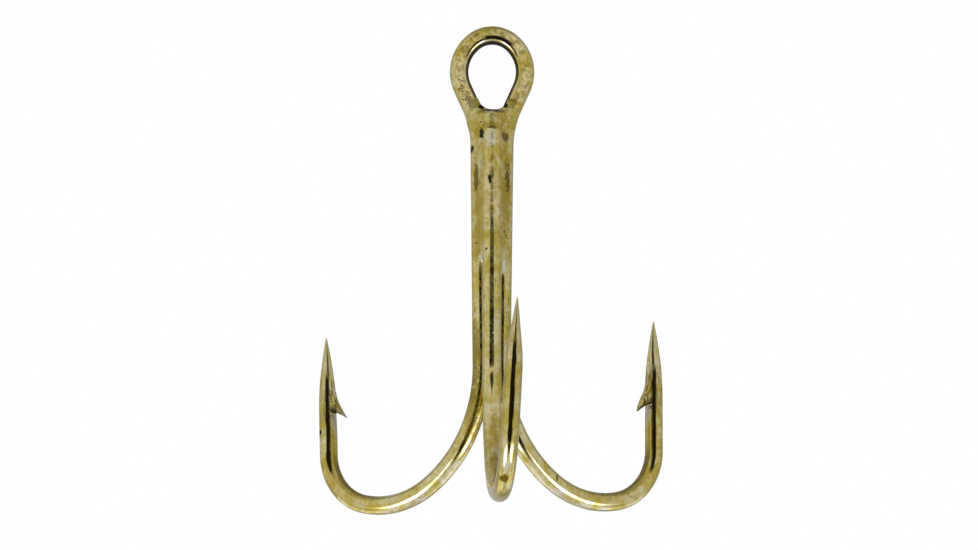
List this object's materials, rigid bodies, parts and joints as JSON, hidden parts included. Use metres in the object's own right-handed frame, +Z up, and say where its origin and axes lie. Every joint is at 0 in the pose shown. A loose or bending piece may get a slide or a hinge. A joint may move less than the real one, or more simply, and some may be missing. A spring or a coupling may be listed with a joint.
{
  "type": "treble hook",
  "caption": "Brazed treble fishing hook: a wire bent double forms the eye, the shank legs and the side hooks, and a further barbed hook wire is brazed in front of the legs.",
  "frame": {"origin": "centre of the eye's opening at its widest, in the plane of the double wire", "axes": "+Z up along the shank toward the eye; -Y is the front, toward the single hook, and the axis of the eye; +X to the right as seen from the front"},
  "size_m": [0.0325, 0.0283, 0.0451],
  "materials": {
    "bronzed_wire": "steel wire with a glossy bronze lacquer, khaki gold with dark reflections and pits",
    "bronzed_braze": "braze metal under the same bronze lacquer, paler and uneven, with tarnish spots"
  },
  "bodies": {
    "root": {"double_hook_wire": "bronzed_wire", "single_hook_wire": "bronzed_wire", "braze_groove_left": "bronzed_braze", "braze_groove_right": "bronzed_braze", "braze_between_legs": "bronzed_braze", "braze_cap": "bronzed_braze"}
  },
  "joints": []
}
